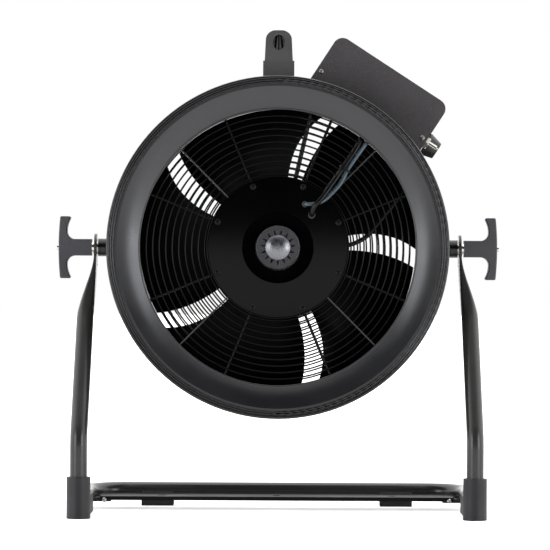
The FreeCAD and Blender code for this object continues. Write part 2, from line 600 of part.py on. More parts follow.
def make_blade():
    """Twisted blade between two smooth sheets, closed by ruled edges."""
    front, rear = blade_sheet(-BLADE_THICK / 2), blade_sheet(BLADE_THICK / 2)
    faces = [front.toShape(), rear.toShape()]
    u0, u1, v0, v1 = front.bounds()
    for at in (u0, u1):
        faces.append(Part.makeRuledSurface(front.uIso(at).toShape(), rear.uIso(at).toShape()))
    for at in (v0, v1):
        faces.append(Part.makeRuledSurface(front.vIso(at).toShape(), rear.vIso(at).toShape()))
    shell = Part.makeShell(faces)
    shell.sewShape()
    solid = Part.makeSolid(shell)
    if solid.Volume < 0:
        solid.reverse()
    return solid.cut(bar_y(HUB_R, -80, 80))


def build_impeller():
    inner, boss_front = CAN_R - CAN_WALL, CAN_REAR - 12.0
    can = turned((CAN_R, CAN_FRONT), [(CAN_R, CAN_REAR - 3), (CAN_R - 3, CAN_REAR), (SHAFT_R, CAN_REAR),
                                      (SHAFT_R, boss_front), (10.0, boss_front), (10.0, CAN_REAR - 3),
                                      (inner - 2, CAN_REAR - 3), (inner, CAN_REAR - 5), (inner, CAN_FRONT)])
    magnets = ring_y(CORE_R + 1.0, inner - 0.02, CORE_FRONT + 2, CORE_REAR - 2)
    save("rotor_can", lift(can), lift(magnets))
    save("hub_ring", lift(ring_y(CAN_R + 0.02, HUB_R, HUB_FRONT, HUB_REAR)))
    save("shaft", lift(bar_y(SHAFT_R, BELL_FRONT + 3.6, CAN_REAR)))
    blade = make_blade()
    for k in range(BLADES):
        save("blade_" + str(k + 1), lift(spin(blade, 72 * k)))


# --- control box -------------------------------------------------------------
def place_box(shape):
    """From the box's own frame to the floor frame."""
    return lift(shape.rotated(ORIGIN, ALONG_Y, BOX_TURN))


def box_outline(inset):
    """Flat outline across the drum: square at the drum, rounded at the outer corners."""
    half, top, r = BOX_HALF - inset, BOX_TOP - inset, BOX_CORNER - inset
    d = r * (1 - math.sqrt(0.5))
    return outline((-half, 220), [(half, 220), (half, top - r), (half - d, top - d, half - r, top),
                                  (r - half, top), (d - half, top - d, -half, top - r)])


def box_prism(inset, y0, y1):
    face = box_outline(inset)
    return face.extrude(V(0, 0, y1 - y0)).rotated(ORIGIN, ALONG_X, 90).translated(V(0, y1, 0))


def along_x(shape, x, y, z):
    """Turn a fitting made along +Y from y = 0 so that it points along +X from the side wall."""
    return shape.rotated(ORIGIN, ALONG_Z, -90).translated(V(x, y, z))


def cover_screw_places():
    return [(-COVER_SCREW_X, COVER_SCREW_Z), (COVER_SCREW_X, COVER_SCREW_Z)]


def build_box(lead_bores):
    drum = bar_y(DRUM_R + 0.05, -80, 80)
    unturned = [b.rotated(ORIGIN, ALONG_Y, -BOX_TURN) for b in lead_bores[:4]]
    wall_front = BOX_FRONT + COVER_THICK
    body = box_prism(0, wall_front, BOX_REAR).cut(box_prism(BOX_WALL, wall_front - 1, BOX_REAR - BOX_WALL))
    z0, z1 = COVER_SCREW_Z - LUG_HALF, COVER_SCREW_Z + LUG_HALF
    lug = box(COVER_SCREW_X - LUG_HALF, BOX_HALF - BOX_WALL / 2, wall_front, wall_front + LUG_DEEP, z0, z1)
    bores = [bar_y(COVER_SCREW_R + TOUCH, BOX_FRONT - 1, wall_front + LUG_DEEP + 1, x, z)
             for x, z in cover_screw_places()]
    body = fuse(body, lug, mirrored(lug)).cut([drum] + bores + unturned)
    fittings = [along_x(bar_y(BUSH_R + TOUCH, -10, 10), BOX_HALF, BREAKER_Y, FITTING_Z),
                along_x(bar_y(POT_BUSH_R + TOUCH, -10, 10), BOX_HALF, KNOB_Y, FITTING_Z),
                box(BOX_HALF - 5, BOX_HALF + 5, ROCKER_Y - 6.6, ROCKER_Y + 6.6, ROCKER_Z - 9.6, ROCKER_Z + 9.6),
                box(INLET_X - 14, INLET_X + 14, BOX_REAR - 5, BOX_REAR + 5, INLET_Z - 10.5, INLET_Z + 10.5)]
    for x in (-20, 20):
        fittings.append(bar_y(1.55, BOX_REAR - 5, BOX_REAR + 5, INLET_X + x, INLET_Z))
    save("box_body", place_box(body.cut(fittings)))
    cover = box_prism(0, BOX_FRONT, wall_front).cut([bar_y(DRUM_R + 0.05, -80, 80)] + bores)
    save("box_cover", place_box(cover))
    one = screw(COVER_SCREW_R, 3.6, 1.9, COVER_THICK + LUG_DEEP - 0.5)
    save("cover_screws", *[place_box(one.translated(V(x, BOX_FRONT, z))) for x, z in cover_screw_places()])


def build_controls():
    """Rocker switch, speed knob on its potentiometer, and the breaker with its push button."""
    frame = box(0, 2.0, -7.6, 7.6, -10.8, 10.8).cut(box(-1, 3, -5.8, 5.8, -8.8, 8.8))
    housing = box(-14, 0, -6.4, 6.4, -9.4, 9.4).cut(box(-9, 1, -5.8, 5.8, -8.8, 8.8))
    pivot_bore = bar_y(ROCKER_PIN_R + TOUCH, -6.25, 6.25)
    bezel = fuse(frame, housing).cut(pivot_bore)
    save("switch_bezel", place_box(bezel.translated(V(BOX_HALF, ROCKER_Y, ROCKER_Z))))
    rocker = outline((-5, -5), [(-1, -8.5), (2.5, -8.2), (1.6, 0), (2.5, 8.2), (-1, 8.5), (-5, 5)])
    rocker = rocker.extrude(V(0, 0, 11.0)).rotated(ORIGIN, ALONG_X, 90).translated(V(0, 5.5, 0))
    rocker = fuse(rocker, bar_y(ROCKER_PIN_R, -6.2, 6.2)).rotated(ORIGIN, ALONG_Y, ROCKER_THROW / 2)
    save("rocker", place_box(rocker.translated(V(BOX_HALF, ROCKER_Y, ROCKER_Z))))

    knob = turned((0, 1.4), [(KNOB_BASE_R, 1.4), (KNOB_BASE_R, 3.2), (KNOB_TOP_R + 1.6, KNOB_LONG - 2.5),
                             (KNOB_TOP_R + 1.0, KNOB_LONG - 0.7, KNOB_TOP_R - 1.2, KNOB_LONG), (0, KNOB_LONG)])
    mark = box(-0.6, 0.6, KNOB_LONG - 0.8, KNOB_LONG + 1, 3.0, KNOB_TOP_R)
    spindle = bar_y(SPINDLE_R, -10.5, 2.0)
    save("speed_knob", place_box(along_x(fuse(knob.cut(mark), spindle), BOX_HALF, KNOB_Y, FITTING_Z)))

    bush = fuse(bar_y(BUSH_R, -BOX_WALL - 0.02, BUSH_LONG), box(-8, 8, -28, -BOX_WALL - 0.02, -7, 7))
    bush = bush.cut(bar_y(BUTTON_R + TOUCH, -6, BUSH_LONG + 1))
    for k in range(8):
        groove = ring_y(BUSH_R - 0.45, BUSH_R + 1, NUT_THICK + 1.2 + 1.5 * k, NUT_THICK + 1.9 + 1.5 * k)
        bush = bush.cut(groove)
    save("breaker_bush", place_box(along_x(bush, BOX_HALF, BREAKER_Y, FITTING_Z)))
    corner = NUT_FLATS / math.sqrt(3)
    hexagon = [polar(corner, 60 * k, 0) for k in range(7)]
    nut = Part.Face(Part.makePolygon(hexagon)).extrude(V(0, NUT_THICK, 0)).cut(bar_y(BUSH_R + TOUCH, -1, 9))
    crown = turned((0, 0), [(corner, 0), (corner, NUT_THICK - 1.2), (NUT_FLATS / 2, NUT_THICK), (0, NUT_THICK)])
    save("breaker_nut", place_box(along_x(nut.common(crown), BOX_HALF, BREAKER_Y, FITTING_Z)))
    button = bar_y(BUTTON_R, -3.0, BUSH_LONG + BUTTON_OUT)
    save("reset_button", place_box(along_x(button, BOX_HALF, BREAKER_Y, FITTING_Z)))


def build_box_inside():
    """Mains inlet on the rear wall, the speed board and the motor capacitor."""
    half_x, half_z = 12.0, 8.0
    flange = box(-25, 25, 0, 3.0, -14, 14)
    corners = [e for e in flange.Edges if abs(e.tangentAt(e.FirstParameter).y) > 0.9]
    flange = flange.makeFillet(5.0, corners)
    inlet = fuse(flange, box(-13.6, 13.6, -21, 0, -10, 10))
    socket = outline((-half_x, -half_z), [(half_x, -half_z), (half_x, 3), (half_x - 5, half_z),
                                          (5 - half_x, half_z), (-half_x, 3)])
    socket = socket.extrude(V(0, 0, 17)).rotated(ORIGIN, ALONG_X, 90).translated(V(0, 3, 0))
    screw_bores = [bar_y(1.55, -1, 5, x, 0) for x in (-20, 20)]
    inlet = inlet.cut([socket.translated(V(0, 1, 0))] + screw_bores)
    seat = V(INLET_X, BOX_REAR, INLET_Z)
    pins = [box(x - 1, x + 1, -17, -3.5, z - 2, z + 2) for x, z in ((-7, -1), (0, 3), (7, -1))]
    one = screw(1.5, 3.0, 1.8, 7.0).rotated(ORIGIN, ALONG_Z, 180)
    screws = [one.translated(V(x, 3.0, 0)) for x in (-20, 20)]
    save("power_inlet", *[place_box(piece.translated(seat)) for piece in [inlet] + pins + screws])
    board = box(-20, 60, 22, 23.6, 262, 306)
    sink = box(34, 56, 23.62, 42.8, 268, 300)
    for k in range(5):
        sink = sink.cut(box(36 + 4 * k, 38 + 4 * k, 27, 43.5, 267, 301))
    pot = fuse(bar_y(8.5, -13, -BOX_WALL - 0.02), bar_y(POT_BUSH_R, -BOX_WALL - 0.02, 1.0))
    pot = along_x(pot.cut(bar_y(SPINDLE_R + TOUCH, -11, 2)), BOX_HALF, KNOB_Y, FITTING_Z)
    coil, relay = bar_y(6, 23.62, 42, 12, 284), box(-14, 0, 23.62, 36, 270, 296)
    save("speed_board", *[place_box(piece) for piece in (board, sink, coil, relay, pot)])
    can = rod(15.0, V(-80, 4, 286), V(-12, 4, 286))
    save("run_capacitor", place_box(can.makeFillet(1.5, can.Edges)))


# --- carry handle ------------------------------------------------------------
def handle_screw_places():
    return [(x, y) for x in (-12.0, 12.0) for y in (-38.0, 38.0)]


def make_bracket():
    """Front handle bracket: foot on the drum, upright with side gussets, and a leaning upper plate."""
    t, y0, fold = HANDLE_THICK, -HANDLE_Y, HANDLE_FOLD_Z - AXIS_Z
    foot_end = -26.0
    upright = box(-HANDLE_HALF, HANDLE_HALF, y0, y0 + t, 240, fold)
    foot = box(-HANDLE_HALF, HANDLE_HALF, y0, foot_end, 240, 254)
    for side in (-1, 1):
        x = side * HANDLE_HALF
        gusset = outline((y0, 240), [(foot_end, 240), (foot_end, 256), (y0 + 9, fold), (y0, fold)])
        gusset = gusset.extrude(V(0, 0, 2.3)).rotated(ORIGIN, V(1, 1, 1), 120)
        upright = fuse(upright, gusset.translated(V(x if side > 0 else x - 2.3, 0, 0)))
    rise = (HANDLE_TOP_Z - HANDLE_FOLD_Z) / math.cos(math.radians(HANDLE_LEAN))
    r = 15.0
    d = r * (1 - math.sqrt(0.5))
    half = HANDLE_HALF
    plate = outline((-half, 0), [(half, 0), (half - 1.5, rise - r),
                                 (half - 1.5 - d, rise - d, half - 1.5 - r, rise), (r + 1.5 - half, rise),
                                 (d + 1.5 - half, rise - d, 1.5 - half, rise - r)])
    plate = plate.extrude(V(0, 0, t)).rotated(ORIGIN, ALONG_X, 90).translated(V(0, t, 0))
    plate = plate.rotated(ORIGIN, ALONG_X, -HANDLE_LEAN).translated(V(0, y0, fold))
    wedge = rod(t, V(-half, y0 + t, fold), V(half, y0 + t, fold))
    wedge = wedge.common(box(-half, half, y0, y0 + t, fold - 9, fold + 9))
    bracket = fuse(upright, foot, plate, wedge).cut(handle_oval(WINDOW_HALF_X, WINDOW_HALF_Z, 80))
    bores = [rod(2.5 + TOUCH, V(x, y, 230), V(x, y, 260)) for x, y in handle_screw_places()]
    return bracket.cut([bar_y(DRUM_R + 0.03, -100, 100)] + bores)


def handle_oval(half_x, half_z, half_y):
    """Oval bar along Y at the height of the window."""
    ellipse = Part.Ellipse(V(0, 0, 0), half_z, half_x).toShape()
    face = Part.Face(Part.Wire([ellipse])).rotated(ORIGIN, ALONG_Z, 90)
    bar = face.extrude(V(0, 0, 2 * half_y)).rotated(ORIGIN, ALONG_X, 90)
    return bar.translated(V(0, half_y, WINDOW_Z - AXIS_Z))


def build_handle():
    bracket = make_bracket()
    save("handle_brackets", lift(bracket), lift(bracket.mirror(ORIGIN, ALONG_Y)))
    grip = handle_oval(GRIP_HALF_X, GRIP_HALF_Z, 60)
    fold = HANDLE_FOLD_Z - AXIS_Z
    beyond = box(-40, 40, -40, HANDLE_THICK + 0.02, -40, 90)
    beyond = beyond.rotated(ORIGIN, ALONG_X, -HANDLE_LEAN).translated(V(0, -HANDLE_Y, fold))
    grip = grip.cut([beyond, beyond.mirror(ORIGIN, ALONG_Y)])
    middle = WINDOW_Z - AXIS_Z
    for x, wide, tilt in ((0, 0.9, 0), (-4.6, 1.5, 7), (4.6, 1.5, -7)):
        slot = box(x - wide, x + wide, -70, 70, middle - 11.5, middle + 11.5)
        grip = grip.cut(slot.rotated(V(x, 0, middle), ALONG_Y, tilt))
    save("handle_grip", lift(grip))
    one = screw(2.5, 4.8, 3.0, 9.0).rotated(ORIGIN, ALONG_X, -90)
    save("handle_screws", *[lift(one.translated(V(x, y, 254))) for x, y in handle_screw_places()])


# --- side clamps -------------------------------------------------------------
def make_tee():
    """T-handle about X: straight stem, scooped finger grips and a crowned outer face."""
    scoop_x = GRIP_X - SCOOP_R
    grip_z = STEM_HALF + SCOOP_R
    swing = math.asin((TEE_HALF - grip_z) / GRIP_R)
    d = math.sqrt(0.5)

    def grip(angle, sign):
        return GRIP_X - GRIP_R + GRIP_R * math.cos(angle), sign * (grip_z + GRIP_R * math.sin(angle))

    steps = [(scoop_x, -STEM_HALF), (scoop_x + SCOOP_R * d, d * SCOOP_R - grip_z, GRIP_X, -grip_z),
             grip(swing / 2, -1) + grip(swing, -1), (CROWN_X - CROWN_RISE, -TEE_HALF),
             (CROWN_X, 0, CROWN_X - CROWN_RISE, TEE_HALF), grip(swing, 1), grip(swing / 2, 1) + (GRIP_X, grip_z),
             (scoop_x + SCOOP_R * d, grip_z - SCOOP_R * d, scoop_x, STEM_HALF), (0, STEM_HALF)]
    tee = outline((0, -STEM_HALF), steps).extrude(V(0, 0, 2 * TEE_DEEP))
    upright = [e for e in tee.Edges if abs(e.tangentAt(e.FirstParameter).z) > 0.9]
    corners = [e for e in upright if abs(e.BoundBox.YMax) > TEE_HALF - 7]
    tee = tee.makeFillet(TEE_EDGE + 0.4, corners)
    edges = [e for e in tee.Edges if abs(e.tangentAt(e.FirstParameter).z) < 0.1 and e.BoundBox.XMax > 1]
    tee = tee.makeFillet(TEE_EDGE, edges)
    return tee.rotated(ORIGIN, ALONG_X, 90).translated(V(TEE_START, TEE_DEEP, 0))


def build_clamps():
    """Threaded boss on each side of the drum, and the T-handle that clamps the leg's ear to it."""
    boss = turned((DRUM_R - 6, STUD_R + TOUCH), [(DRUM_R - 6, 17), (257, 17), (259.5, BOSS_R), (BOSS_END, BOSS_R),
                                                 (BOSS_END, PILOT_R), (EAR_X + EAR_THICK - 0.3, PILOT_R),
                                                 (EAR_X + EAR_THICK - 0.3, STUD_R + TOUCH)], ALONG_X)
    boss = boss.cut(bar_y(DRUM_R + 0.03, -60, 60))
    washer = turned((BOSS_END + 0.02, PILOT_R + 0.1), [(BOSS_END + 0.02, 11), (BOSS_END + 1.3, 11),
                                                       (BOSS_END + 1.3, PILOT_R + 0.1)], ALONG_X)
    inner, outer = EAR_X + EAR_THICK + TOUCH, TEE_START - 2.0
    ring = turned((inner, STUD_R + 0.1), [(inner, 10.0), (outer, 10.0), (outer, STUD_R + 0.1)], ALONG_X)
    seat = outer + 0.02
    stud = turned((STUD_INNER, 0), [(STUD_INNER, STUD_R - 1), (STUD_INNER + 1, STUD_R), (seat, STUD_R),
                                    (seat, SHOULDER_R), (TEE_START, SHOULDER_R), (TEE_START, STUD_R),
                                    (STUD_NUB, STUD_R), (STUD_NUB, NUB_R), (STUD_END - 0.6, NUB_R),
                                    (STUD_END, NUB_R - 0.6), (STUD_END, 0)], ALONG_X)
    tee = make_tee().cut(stud)
    save("pivot_bosses", lift(boss), lift(mirrored(boss)))
    save("pivot_washers", lift(washer), lift(mirrored(washer)))
    for side, make in (("right_", lambda s: s), ("left_", mirrored)):
        save(side + "clamp_washer", lift(make(ring)))
        save(side + "stud", lift(make(stud)))
        save(side + "t_handle", lift(make(tee)))


# --- leads -------------------------------------------------------------------
def make_tie():
    """Cable tie round the grey and black leads: a flat band with its head, and its curling tail."""
    grey, black = lead_routes()[:2]
    middle = (grey[4] + black[4]) * 0.5 + V(0, -0.6, 0)
    along = grey[3] - grey[4]
    along.normalize()
    across = black[4] - grey[4]
    across = across - along * across.dot(along)
    half = across * 0.5
    up = along.cross(across)
    up.normalize()
    loops = []
    for radius, run in ((TIE_INNER_R + TIE_THICK, TIE_WIDE / 2), (TIE_INNER_R, TIE_WIDE)):
        turns = ((1, 1), (1, -1), (-1, -1), (-1, 1), (1, 1))
        corners = [middle + half * i + up * (radius * j) - along * run for i, j in turns]
        slab = Part.Face(Part.makePolygon(corners)).extrude(along * (2 * run))
        ends = [rod(radius, middle + side - along * run, middle + side + along * run)
                for side in (half, half * -1)]
        loops.append(fuse(slab, *ends))
    head = box(-2.5, 2.5, -TIE_INNER_R - 3.2, -TIE_INNER_R - 0.4, -2.5, 2.5).translated(middle)
    tail_start = middle + V(-1.5, -TIE_INNER_R - 1.9, 0)
    tail = lead_tube([tail_start, tail_start + V(-6, -0.6, -2.5), tail_start + V(-9.5, 0.5, -9)], 0.8)
    return fuse(loops[0].cut(loops[1]), head), tail.cut(head)


def build_leads(leads, grommets):
    save("grey_lead", lift(leads[0]))
    save("black_lead", lift(leads[1]))
    save("inner_leads", lift(leads[2]), lift(leads[3]))
    save("lead_grommets", *[lift(g) for g in grommets])
    save("cable_tie", *[lift(piece) for piece in make_tie()])


def main():
    os.makedirs("parts", exist_ok=True)
    leads, bores, grommets = make_leads()
    build_stand()
    build_drum(bores)
    build_front_guard()
    build_struts()
    build_rear_guard()
    build_plate(bores)
    build_motor()
    build_impeller()
    build_box(bores)
    build_controls()
    build_box_inside()
    build_handle()
    build_clamps()
    build_leads(leads, grommets)


main()
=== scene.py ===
import json
import math

import bpy
from mathutils import Matrix, Vector


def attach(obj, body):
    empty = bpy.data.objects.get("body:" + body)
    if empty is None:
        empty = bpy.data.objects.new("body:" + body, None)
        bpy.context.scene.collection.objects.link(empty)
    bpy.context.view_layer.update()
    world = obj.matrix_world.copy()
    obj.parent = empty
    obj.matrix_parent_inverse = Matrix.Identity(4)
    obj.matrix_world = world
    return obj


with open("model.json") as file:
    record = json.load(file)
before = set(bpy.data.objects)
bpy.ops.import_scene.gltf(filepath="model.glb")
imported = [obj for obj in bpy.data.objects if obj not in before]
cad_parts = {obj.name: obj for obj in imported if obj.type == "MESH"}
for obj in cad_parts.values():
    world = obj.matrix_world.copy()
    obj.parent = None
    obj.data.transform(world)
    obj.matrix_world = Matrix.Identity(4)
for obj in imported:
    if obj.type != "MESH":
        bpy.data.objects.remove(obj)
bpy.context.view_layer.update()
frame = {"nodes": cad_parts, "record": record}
NODES = frame["nodes"]
RANGE_SOCKETS = ("From Min", "From Max", "To Min", "To Max")

# --- studio ----------------------------------------------------------------------
SKY, DARK_ROOM = 2.0, 0.03          # strength of the white sky and of the dark room in front
ROOM_AHEAD = (-0.75, -0.10)         # the room fades out between these Y of the unit direction
ROOM_FLOOR = (0.010, 0.020)         # and these Z, just above the horizon
ROOM_CEILING = (0.70, 1.0)
FLOOR_RINGS, FLOOR_SIDES = (1.0, 4.0, 30.0), 96
FLOOR_DARK, FLOOR_LIGHT, FLOOR_ROUGH = (0.88, 0.88, 0.88), (0.92, 0.92, 0.92), 0.7
FLOOR_GLOW = 0.6                    # what the camera sees of the floor stays white in thin shadows
COOL, WHITE = (0.93, 0.95, 1.0), (1, 1, 1)
LIGHTS = [
    # name, place, target, size, power, colour
    ("side_left", (-2.9, -2.7, 0.7), (0, 0, 0.4), (1.5, 2.2), 50, COOL),
    ("side_right", (2.9, -2.7, 0.7), (0, 0, 0.4), (1.5, 2.2), 54, COOL),
    ("top", (0, 0.4, 3.0), (0, 0, 0.3), (3.0, 2.0), 12, WHITE),
]
CAMERA_PLACE, CAMERA_PITCH, CAMERA_ROLL = (0, -4.391, 0.342), 90, 0.27
CAMERA_LENS, SENSOR_WIDTH, CLIP_END = 190.3, 36.0, 60.0
SHIFT_X, SHIFT_Y = -0.0049, 0.0197

# --- extra piece: half sizes of the web inside the carry grip ----------------------
CORE_HALF_X, CORE_HALF_Y, CORE_HALF_Z, CORE_SIDES = 0.0075, 0.001, 0.012, 40

# --- finishes --------------------------------------------------------------------
METAL_GRAIN = 0.15
PAINTS = {
    # name: colour, roughness, orange peel, dust, specular level
    "stand_paint": ((0.0170, 0.0170, 0.0162), 0.24, 0.10, 0.1),
    "drum_paint": ((0.0055, 0.0055, 0.0060), 0.33, 0.12, 0.1),
    "guard_paint": ((0.0003, 0.0003, 0.0004), 0.08, 0.02, 0.0, 0.14),
    "plate_paint": ((0.0006, 0.0006, 0.0007), 0.05, 0.005, 0.0, 0.10),
    "screw_black": ((0.0006, 0.0006, 0.0007), 0.25, 0.05, 0.0, 0.14),
    "handle_paint": ((0.036, 0.036, 0.035), 0.55, 0.5, 0.5),
    "box_paint": ((0.031, 0.0275, 0.029), 0.5, 0.8, 0.9),
    # near black with almost no specular: painted shade inside the motor cup
    "cup_paint": ((0.0003, 0.0003, 0.0003), 0.6, 0.1, 0.0, 0.03),
    # lighter than the guard paint: painted highlight along the strut bars
    "strut_paint": ((0.020, 0.020, 0.021), 0.25, 0.08, 0.0, 0.5),
    "shell_paint": ((0.0015, 0.0015, 0.0019), 0.16, 0.06, 0.0, 0.5),
    "panel_paint": ((0.0060, 0.0060, 0.0078), 0.30, 0.08, 0.05, 0.7),
    "boss_paint": ((0.0020, 0.0020, 0.0032), 0.25, 0.08, 0.0, 0.4),
    "strip_paint": ((0.0016, 0.0016, 0.0017), 0.5, 0.5, 0.9, 0.16),
}
MOULDINGS = {
    # name: colour, roughness, grain, depth, speckle, specular level
    "foot_plastic": ((0.0045, 0.0045, 0.0058), 0.5),
    "blade_plastic": ((0.0008, 0.0008, 0.0009), 0.45, 200.0, 0.15, 0.2, 0.08),
    "grip_plastic": ((0.030, 0.030, 0.030), 0.6),
    # darker than the grip plastic: painted shade inside the grip's slots
    "core_plastic": ((0.010, 0.010, 0.011), 0.6),
    "inlet_plastic": ((0.012, 0.012, 0.012), 0.35),
    "board": ((0.02, 0.12, 0.05), 0.4),
    "capacitor": ((0.5, 0.5, 0.49), 0.5),
    "bezel_plastic": ((0.012, 0.012, 0.012), 0.35),
    "rocker_red": ((0.55, 0.012, 0.008), 0.22, 260.0, 0.05, 0.0),
    "knob_plastic": ((0.009, 0.009, 0.0095), 0.42),
    "tee_plastic": ((0.041, 0.041, 0.047), 0.5),
    "lead_grey": ((0.036, 0.056, 0.070), 0.26, 200.0, 0.1, 0.1, 0.6),
    "lead_black": ((0.0006, 0.0006, 0.0007), 0.22, 200.0, 0.06, 0.1, 0.22),
    "tie_nylon": ((0.001, 0.001, 0.001), 0.3, 200.0, 0.1, 0.0, 0.2),
}
METALS = {
    # name: colour, roughness, stretch of the brushing
    "screw_zinc": ((0.60, 0.60, 0.62), 0.28),
    "cover_screw_zinc": ((0.24, 0.24, 0.24), 0.35),
    "motor_metal": ((0.075, 0.075, 0.079), 0.34),
    "cap_metal": ((0.21, 0.21, 0.225), 0.30),
    "core_steel": ((0.30, 0.30, 0.31), 0.5, (1, 40, 1)),
    "coil_copper": ((0.60, 0.24, 0.10), 0.4, (1, 30, 1)),
    "bright_steel": ((0.62, 0.62, 0.63), 0.22, (1, 30, 1)),
    "nickel": ((0.66, 0.63, 0.58), 0.2),
    "button_steel": ((0.58, 0.56, 0.53), 0.25),
}
RUBBERS = {
    # name: colour, roughness
    "pad_rubber": ((0.02, 0.02, 0.02), 0.75),
    "grommet_rubber": ((0.012, 0.012, 0.012), 0.6),
}
# pieces whose finish differs from the rest of their slot
OWN_FINISH = {
    "motor_cup": "cup_paint",
    "strut_bars": "strut_paint",
    "drum_shell": "shell_paint",
    "front_panel": "panel_paint",
    "pivot_bosses": "boss_paint",
    "clamp_strip": "strip_paint",
    "cover_screws": "cover_screw_zinc",
}


# --- node trees ------------------------------------------------------------------
class Maker:
    """Builds one node material with a Principled shader."""

    def __init__(self, name):
        self.mat = bpy.data.materials.new(name)
        self.mat.use_nodes = True
        self.tree = self.mat.node_tree
        self.tree.nodes.clear()
        self.out = self.add("ShaderNodeOutputMaterial")
        self.bsdf = self.add("ShaderNodeBsdfPrincipled")
        self.link(self.bsdf.outputs["BSDF"], self.out.inputs["Surface"])
        self.coords = self.add("ShaderNodeTexCoord").outputs["Object"]

    def add(self, kind, **settings):
        node = self.tree.nodes.new(kind)
        for key, value in settings.items():
            setattr(node, key, value)
        return node

    def link(self, source, target):
        self.tree.links.new(source, target)

    def put(self, socket, value):
        """A socket is linked or a plain value is set."""
        if isinstance(value, bpy.types.NodeSocket):
            self.link(value, socket)
        else:
            socket.default_value = value

    def noise(self, scale, detail=4.0, stretch=None):
        source = self.stretched(stretch) if stretch else self.coords
        node = self.add("ShaderNodeTexNoise")
        node.inputs["Scale"].default_value = scale
        node.inputs["Detail"].default_value = detail
        node.inputs["Roughness"].default_value = 0.6
        self.link(source, node.inputs["Vector"])
        return node.outputs["Fac"]

    def cells(self, scale):
        node = self.add("ShaderNodeTexVoronoi")
        node.inputs["Scale"].default_value = scale
        self.link(self.coords, node.inputs["Vector"])
        return node.outputs["Distance"]

    def stretched(self, scale):
        node = self.add("ShaderNodeMapping")
        node.inputs["Scale"].default_value = scale
        self.link(self.coords, node.inputs["Vector"])
        return node.outputs["Vector"]

    def span(self, value, low, high, to_low, to_high):
        node = self.add("ShaderNodeMapRange")
        self.link(value, node.inputs["Value"])
        for socket, number in zip(RANGE_SOCKETS, (low, high, to_low, to_high)):
            node.inputs[socket].default_value = number
        return node.outputs["Result"]

    def mix(self, factor, first, second):
        node = self.add("ShaderNodeMix", data_type="RGBA")
        self.put(node.inputs[0], factor)
        for socket, value in ((node.inputs[6], first), (node.inputs[7], second)):
            self.put(socket, value if isinstance(value, bpy.types.NodeSocket) else (*value, 1.0))
        return node.outputs[2]

    def scaled(self, value, factor):
        node = self.add("ShaderNodeMath", operation="MULTIPLY")
        self.put(node.inputs[0], value)
        self.put(node.inputs[1], factor)
        return node.outputs[0]

    def bump(self, height, strength, distance):
        node = self.add("ShaderNodeBump")
        node.inputs["Strength"].default_value = strength
        node.inputs["Distance"].default_value = distance
        self.link(height, node.inputs["Height"])
        return node.outputs["Normal"]

    def finish(self, **sockets):
        for name, value in sockets.items():
            self.put(self.bsdf.inputs[name.replace("_", " ")], value)
        return self.mat


def painted(name, colour, rough, peel, dust, shine=0.5):
    """Powder coat or paint: fine orange peel, slow changes of gloss, and a little dust."""
    m = Maker(name)
    broad = m.noise(7.0, 3.0)
    fine = m.noise(420.0, 2.0)
    light = tuple(min(1.0, c * 1.35) for c in colour)
    dark = tuple(c * 0.8 for c in colour)
    base = m.mix(m.span(broad, 0.35, 0.65, 0.0, 1.0), dark, light)
    specks = m.span(m.noise(900.0, 1.0), 0.62, 0.75, 0.0, dust)
    base = m.mix(specks, base, tuple(min(1.0, c * 2.2 + 0.002) for c in colour))
    gloss = m.span(m.noise(16.0, 4.0), 0.3, 0.7, rough * 0.88, rough * 1.14)
    normal = m.bump(fine, peel, 0.0004)
    m.finish(Base_Color=base, Roughness=gloss, Normal=normal)
    m.bsdf.inputs["Specular IOR Level"].default_value = shine
    return m.mat


def moulded(name, colour, rough, grain=260.0, depth=0.35, speckle=0.35, shine=0.5):
    """Moulded plastic: spark-eroded grain and faint flow marks."""
    m = Maker(name)
    broad = m.noise(11.0, 3.0)
    skin = m.cells(grain * 3)
    light = tuple(min(1.0, c * 1.25) for c in colour)
    dark = tuple(c * 0.85 for c in colour)
    base = m.mix(m.span(broad, 0.35, 0.65, 0.0, 1.0), dark, light)
    base = m.mix(m.span(skin, 0.0, 0.5, speckle, 0.0), base, tuple(c * 0.6 for c in colour))
    gloss = m.span(m.noise(30.0, 3.0), 0.3, 0.7, rough * 0.9, rough * 1.12)
    normal = m.bump(m.noise(grain * 4, 2.0), depth, 0.0004)
    m.bsdf.inputs["Specular IOR Level"].default_value = shine
    return m.finish(Base_Color=base, Roughness=gloss, Normal=normal)


def metal(name, colour, rough, brushed=None):
    """Bare or plated metal, with brushing along one direction when a stretch is given."""
    m = Maker(name)
    grain = m.noise(60.0, 5.0, stretch=brushed) if brushed else m.noise(220.0, 3.0)
    dark = tuple(c * 0.8 for c in colour)
    base = m.mix(m.span(m.noise(25.0, 3.0), 0.3, 0.7, 0.0, 1.0), dark, colour)
    gloss = m.span(grain, 0.3, 0.7, rough * 0.75, rough * 1.3)
    normal = m.bump(grain, METAL_GRAIN, 0.0003)
    return m.finish(Base_Color=base, Metallic=1.0, Roughness=gloss, Normal=normal)


def rubber(name, colour, rough):
    """Matt rubber with a cloudy tone and a fine grain."""
    m = Maker(name)
    dark = tuple(c * 0.7 for c in colour)
    light = tuple(c * 1.4 for c in colour)
    base = m.mix(m.noise(60.0, 4.0), dark, light)
    normal = m.bump(m.noise(900.0, 2.0), 0.3, 0.0004)
    return m.finish(Base_Color=base, Roughness=rough, Normal=normal)


def build_materials():
    """Every finish, by name."""
    families = ((painted, PAINTS), (moulded, MOULDINGS), (metal, METALS), (rubber, RUBBERS))
    return {name: make(name, *values) for make, table in families for name, values in table.items()}


def assign_materials(made):
    for part in frame["record"]["subparts"]:
        mesh = NODES[part["node"]].data
        mesh.materials.clear()
        mesh.materials.append(made[OWN_FINISH.get(part["node"], part["material_slot"])])


# --- extra piece -----------------------------------------------------------------
def new_mesh(name, points, faces):
    mesh = bpy.data.meshes.new(name)
    mesh.from_pydata(points, [], faces)
    obj = bpy.data.objects.new(name, mesh)
    bpy.context.scene.collection.objects.link(obj)
    return obj


